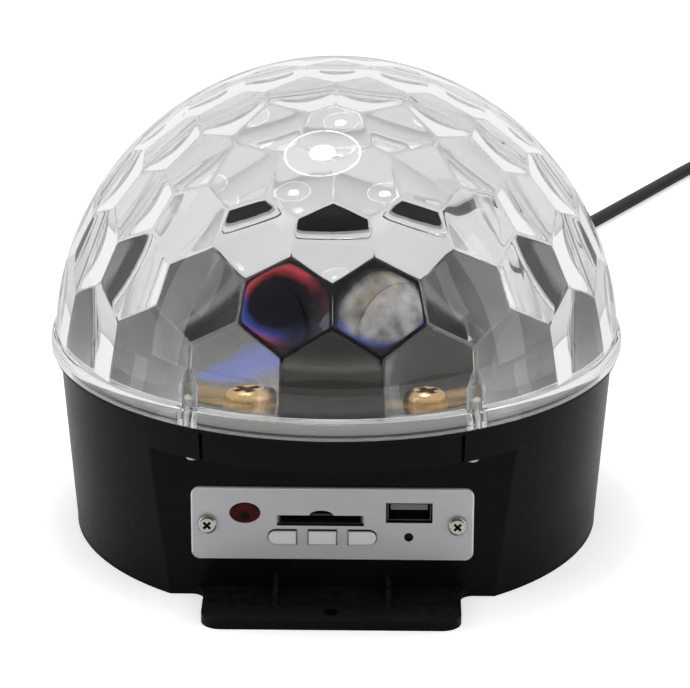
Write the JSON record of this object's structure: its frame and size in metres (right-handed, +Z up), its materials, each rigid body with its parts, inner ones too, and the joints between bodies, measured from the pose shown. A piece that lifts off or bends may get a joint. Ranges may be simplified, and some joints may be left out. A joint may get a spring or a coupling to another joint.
{
  "type": "led disco ball light",
  "caption": "Round black base with a brushed player panel under a clear dome of moulded lenses; a lamp turret turns inside, and a mains lead lies coiled behind.",
  "frame": {"origin": "on the floor under the middle of the base", "axes": "+Z up along the dome's axis; the control panel faces -Y; +X is to the right when the panel is seen from the front"},
  "size_m": [0.38, 0.5838, 0.1478],
  "materials": {
    "black_housing": "satin black moulded plastic",
    "clear_plastic": "clear polished polystyrene",
    "zinc_screw": "nickel plated steel",
    "brushed_panel": "fine satin anodised",
    "red_window": "dark red translucent",
    "black_component": "matt",
    "socket_metal": "plated",
    "green_board": "solder mask",
    "bright_dish": "vacuum metallised",
    "black_holder": "satin",
    "lamp_aluminium": "plain",
    "zinc_plate": "zinc plated",
    "motor_can": "plated steel",
    "clear_lens": "clear polished",
    "copper_winding": "lacquered wire and tape",
    "capacitor_sleeve": "sleeved can",
    "paper_cone": "pressed paper",
    "cord_black": "soft black sheath",
    "plug_metal": "nickel plated brass",
    "button_grey": "silver grey",
    "emitter_red": "tinted",
    "emitter_green": "tinted",
    "emitter_blue": "tinted",
    "emitter_amber": "tinted",
    "emitter_white": "tinted",
    "emitter_violet": "tinted"
  },
  "bodies": {
    "base": {"base_housing": "black_housing", "bottom_cover": "black_housing", "dome": "clear_plastic", "dome_screws": "zinc_screw", "cover_screws": "zinc_screw", "control_panel": "brushed_panel", "panel_screws": "zinc_screw", "ir_window": "red_window", "ir_receiver": "black_component", "card_socket": "socket_metal", "usb_shell": "socket_metal", "usb_tongue": "black_component", "microphone": "black_component", "player_board": "green_board", "player_chips": "black_component", "tact_switches": "black_component", "reflector_dish": "bright_dish", "lens_holder": "black_holder", "lamp_board": "lamp_aluminium", "heat_sink": "lamp_aluminium", "chassis_plate": "zinc_plate", "chassis_screws": "zinc_screw", "gear_motor": "motor_can", "motor_screws": "zinc_screw", "power_board": "green_board", "driver_board": "green_board", "transformer": "copper_winding", "capacitors": "capacitor_sleeve", "speaker_basket": "zinc_plate", "speaker_cone": "paper_cone", "strain_relief": "cord_black", "cord": "cord_black", "cord_coil": "cord_black", "cord_tail": "cord_black", "plug_body": "cord_black", "plug_pins": "plug_metal", "emitter_red": "emitter_red", "emitter_green": "emitter_green", "emitter_blue": "emitter_blue", "emitter_amber": "emitter_amber", "emitter_white": "emitter_white", "emitter_violet": "emitter_violet"},
    "turret": {"motor_shaft": "motor_can", "lens_turret": "black_holder", "turret_lenses": "clear_lens"},
    "button_previous": {"button_previous": "button_grey"},
    "button_play": {"button_play": "button_grey"},
    "button_next": {"button_next": "button_grey"}
  },
  "joints": [
    {"name": "turret_spin", "type": "hinge", "parent": "base", "child": "turret", "pos_m": [0, 0, 0.06], "axis": [0, 0, 1], "continuous": true},
    {"name": "button_previous_press", "type": "slide", "parent": "base", "child": "button_previous", "axis": [0, 1, 0], "range_m": [0, 0.0005], "stiffness_N_per_m": 800, "springref_m": -0.0003},
    {"name": "button_play_press", "type": "slide", "parent": "base", "child": "button_play", "axis": [0, 1, 0], "range_m": [0, 0.0005], "stiffness_N_per_m": 800, "springref_m": -0.0003},
    {"name": "button_next_press", "type": "slide", "parent": "base", "child": "button_next", "axis": [0, 1, 0], "range_m": [0, 0.0005], "stiffness_N_per_m": 800, "springref_m": -0.0003}
  ]
}
